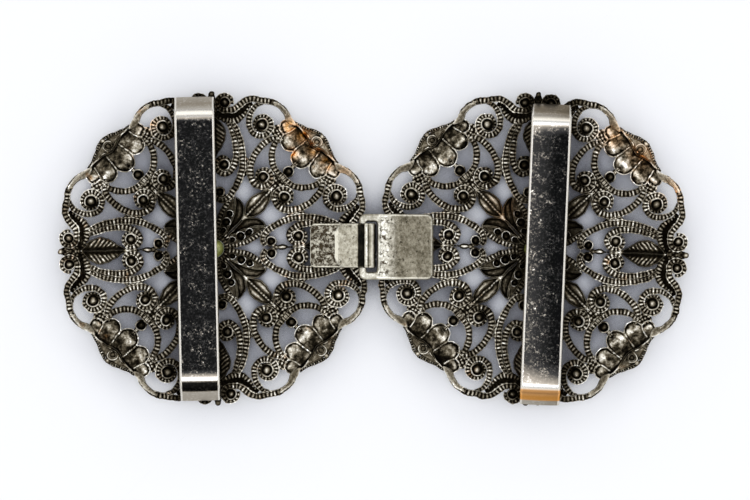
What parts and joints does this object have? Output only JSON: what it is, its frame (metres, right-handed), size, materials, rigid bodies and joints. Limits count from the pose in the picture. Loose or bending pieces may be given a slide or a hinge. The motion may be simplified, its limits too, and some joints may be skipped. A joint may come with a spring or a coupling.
{
  "type": "apron clasp",
  "caption": "Fastened two-part clasp: round pierced filigree medallions with ribbon bars across their backs, joined by a folded hook and a slotted eye plate, lying back up.",
  "frame": {"origin": "middle of the base of the clasp's box, on the surface that it lies on", "axes": "+X along the clasp from the hook's medallion to the eye plate's medallion, +Y up in the picture, +Z out of the back towards the viewer"},
  "size_m": [0.102, 0.0514, 0.0091],
  "materials": {
    "filigree": "blackened in the recesses, worn silver on the ridges",
    "stone": "polished yellow-green paste",
    "dark_steel": "darkened, mottled",
    "worn_steel": "worn, scratched and pitted"
  },
  "bodies": {
    "root": {"medallion_left": "filigree", "medallion_right": "filigree", "stone_left": "stone", "stone_right": "stone", "ribbon_bar_left": "dark_steel", "ribbon_bar_right": "dark_steel", "hook": "worn_steel", "eye_plate": "worn_steel"}
  },
  "joints": []
}
